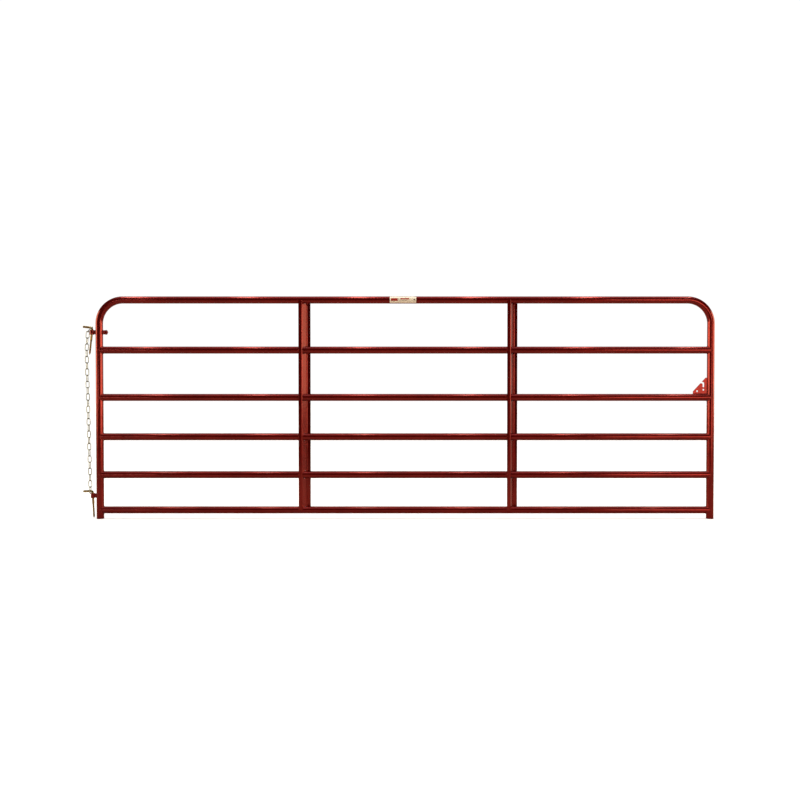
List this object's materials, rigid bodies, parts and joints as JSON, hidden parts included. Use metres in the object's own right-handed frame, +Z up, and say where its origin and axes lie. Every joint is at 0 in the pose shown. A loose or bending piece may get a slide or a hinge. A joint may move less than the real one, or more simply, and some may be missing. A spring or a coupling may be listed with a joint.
{
  "type": "livestock panel gate",
  "caption": "Bent-tube livestock gate with rails, Z-section braces, hinge eyes on screw hooks, a loose hinge chain and a slotted latch plate.",
  "frame": {"origin": "on the ground under the middle of the overall length, hooks included, at mid thickness", "axes": "+X along the gate from the hinge side to the latch side, +Y through its thickness away from the front, +Z up"},
  "size_m": [3.6054, 0.046, 1.27],
  "materials": {
    "red_paint": "glossy deep red enamel",
    "yellow_zinc": "yellow-passivated zinc plate",
    "zinc": "dull zinc plate",
    "label_film": "satin printed film"
  },
  "bodies": {
    "hooks": {"upper_hook": "yellow_zinc", "lower_hook": "yellow_zinc"},
    "gate": {"end_frame": "red_paint", "rail_1": "red_paint", "rail_2": "red_paint", "rail_3": "red_paint", "rail_4": "red_paint", "rail_5": "red_paint", "brace_left": "red_paint", "brace_right": "red_paint", "latch_plate": "red_paint", "label": "label_film", "upper_eye": "red_paint", "hinge_bolt": "red_paint", "lower_eye": "red_paint", "lower_eye_arm": "red_paint"},
    "outer_nut": {"outer_nut": "red_paint"},
    "inner_nut": {"inner_nut": "red_paint"},
    "jam_nut": {"jam_nut": "red_paint"},
    "link_01": {"link_01": "zinc"},
    "link_02": {"link_02": "zinc"},
    "link_03": {"link_03": "zinc"},
    "link_04": {"link_04": "zinc"},
    "link_05": {"link_05": "zinc"},
    "link_06": {"link_06": "zinc"},
    "link_07": {"link_07": "zinc"},
    "link_08": {"link_08": "zinc"},
    "link_09": {"link_09": "zinc"},
    "link_10": {"link_10": "zinc"},
    "link_11": {"link_11": "zinc"},
    "link_12": {"link_12": "zinc"},
    "link_13": {"link_13": "zinc"},
    "link_14": {"link_14": "zinc"},
    "link_15": {"link_15": "zinc"},
    "link_16": {"link_16": "zinc"},
    "link_17": {"link_17": "zinc"},
    "link_18": {"link_18": "zinc"},
    "link_19": {"link_19": "zinc"},
    "link_20": {"link_20": "zinc"},
    "link_21": {"link_21": "zinc"},
    "link_22": {"link_22": "zinc"},
    "link_23": {"link_23": "zinc"},
    "link_24": {"link_24": "zinc"},
    "link_25": {"link_25": "zinc"},
    "link_26": {"link_26": "zinc"},
    "link_27": {"link_27": "zinc"}
  },
  "joints": [
    {"name": "gate_swing", "type": "hinge", "parent": "hooks", "child": "gate", "pos_m": [-1.7488, 0, 0.1325], "axis": [0, 0, 1], "range_deg": [-90, 90]},
    {"name": "outer_nut_turn", "type": "hinge", "parent": "gate", "child": "outer_nut", "pos_m": [-1.7273, 0, 1.065], "axis": [1, 0, 0], "continuous": true},
    {"name": "inner_nut_turn", "type": "hinge", "parent": "gate", "child": "inner_nut", "pos_m": [-1.7273, 0, 1.065], "axis": [1, 0, 0], "continuous": true},
    {"name": "jam_nut_turn", "type": "hinge", "parent": "gate", "child": "jam_nut", "pos_m": [-1.7273, 0, 1.065], "axis": [1, 0, 0], "continuous": true},
    {"name": "link_01_swing", "type": "hinge", "parent": "hooks", "child": "link_01", "pos_m": [-1.74516, 0, 1.09558], "axis": [0, 1, 0], "range_deg": [0, 10]},
    {"name": "link_02_swing", "type": "hinge", "parent": "link_01", "child": "link_02", "pos_m": [-1.7723, 0, 1.06647], "axis": [0, 1, 0], "range_deg": [0, 10]},
    {"name": "link_03_swing", "type": "hinge", "parent": "link_02", "child": "link_03", "pos_m": [-1.77459, 0, 1.03535], "axis": [0, 1, 0], "range_deg": [0, 10]},
    {"name": "link_04_swing", "type": "hinge", "parent": "link_03", "child": "link_04", "pos_m": [-1.77751, 0, 0.99566], "axis": [0, 1, 0], "range_deg": [0, 10]},
    {"name": "link_05_swing", "type": "hinge", "parent": "link_04", "child": "link_05", "pos_m": [-1.7798, 0, 0.96455], "axis": [0, 1, 0], "range_deg": [0, 10]},
    {"name": "link_06_swing", "type": "hinge", "parent": "link_05", "child": "link_06", "pos_m": [-1.77897, 0, 0.92475], "axis": [0, 1, 0], "range_deg": [0, 10]},
    {"name": "link_07_swing", "type": "hinge", "parent": "link_06", "child": "link_07", "pos_m": [-1.77831, 0, 0.89356], "axis": [0, 1, 0], "range_deg": [0, 10]},
    {"name": "link_08_swing", "type": "hinge", "parent": "link_07", "child": "link_08", "pos_m": [-1.77748, 0, 0.85377], "axis": [0, 1, 0], "range_deg": [0, 10]},
    {"name": "link_09_swing", "type": "hinge", "parent": "link_08", "child": "link_09", "pos_m": [-1.77682, 0, 0.82258], "axis": [0, 1, 0], "range_deg": [0, 10]},
    {"name": "link_10_swing", "type": "hinge", "parent": "link_09", "child": "link_10", "pos_m": [-1.77599, 0, 0.78279], "axis": [0, 1, 0], "range_deg": [0, 10]},
    {"name": "link_11_swing", "type": "hinge", "parent": "link_10", "child": "link_11", "pos_m": [-1.77533, 0, 0.75159], "axis": [0, 1, 0], "range_deg": [0, 10]},
    {"name": "link_12_swing", "type": "hinge", "parent": "link_11", "child": "link_12", "pos_m": [-1.7745, 0, 0.7118], "axis": [0, 1, 0], "range_deg": [0, 10]},
    {"name": "link_13_swing", "type": "hinge", "parent": "link_12", "child": "link_13", "pos_m": [-1.77384, 0, 0.68061], "axis": [0, 1, 0], "range_deg": [0, 10]},
    {"name": "link_14_swing", "type": "hinge", "parent": "link_13", "child": "link_14", "pos_m": [-1.77301, 0, 0.64082], "axis": [0, 1, 0], "range_deg": [0, 10]},
    {"name": "link_15_swing", "type": "hinge", "parent": "link_14", "child": "link_15", "pos_m": [-1.77235, 0, 0.60962], "axis": [0, 1, 0], "range_deg": [0, 10]},
    {"name": "link_16_swing", "type": "hinge", "parent": "link_15", "child": "link_16", "pos_m": [-1.77151, 0, 0.56983], "axis": [0, 1, 0], "range_deg": [0, 10]},
    {"name": "link_17_swing", "type": "hinge", "parent": "link_16", "child": "link_17", "pos_m": [-1.77086, 0, 0.53864], "axis": [0, 1, 0], "range_deg": [0, 10]},
    {"name": "link_18_swing", "type": "hinge", "parent": "link_17", "child": "link_18", "pos_m": [-1.77002, 0, 0.49885], "axis": [0, 1, 0], "range_deg": [0, 10]},
    {"name": "link_19_swing", "type": "hinge", "parent": "link_18", "child": "link_19", "pos_m": [-1.76937, 0, 0.46766], "axis": [0, 1, 0], "range_deg": [0, 10]},
    {"name": "link_20_swing", "type": "hinge", "parent": "link_19", "child": "link_20", "pos_m": [-1.76853, 0, 0.42786], "axis": [0, 1, 0], "range_deg": [0, 10]},
    {"name": "link_21_swing", "type": "hinge", "parent": "link_20", "child": "link_21", "pos_m": [-1.76788, 0, 0.39667], "axis": [0, 1, 0], "range_deg": [0, 10]},
    {"name": "link_22_swing", "type": "hinge", "parent": "link_21", "child": "link_22", "pos_m": [-1.76704, 0, 0.35688], "axis": [0, 1, 0], "range_deg": [0, 10]},
    {"name": "link_23_swing", "type": "hinge", "parent": "link_22", "child": "link_23", "pos_m": [-1.76639, 0, 0.32569], "axis": [0, 1, 0], "range_deg": [0, 10]},
    {"name": "link_24_swing", "type": "hinge", "parent": "link_23", "child": "link_24", "pos_m": [-1.76555, 0, 0.2859], "axis": [0, 1, 0], "range_deg": [0, 10]},
    {"name": "link_25_swing", "type": "hinge", "parent": "link_24", "child": "link_25", "pos_m": [-1.7649, 0, 0.2547], "axis": [0, 1, 0], "range_deg": [0, 10]},
    {"name": "link_26_swing", "type": "hinge", "parent": "link_25", "child": "link_26", "pos_m": [-1.76406, 0, 0.21491], "axis": [0, 1, 0], "range_deg": [0, 10]},
    {"name": "link_27_swing", "type": "hinge", "parent": "link_26", "child": "link_27", "pos_m": [-1.7634, 0, 0.18372], "axis": [0, 1, 0], "range_deg": [0, 10]}
  ]
}
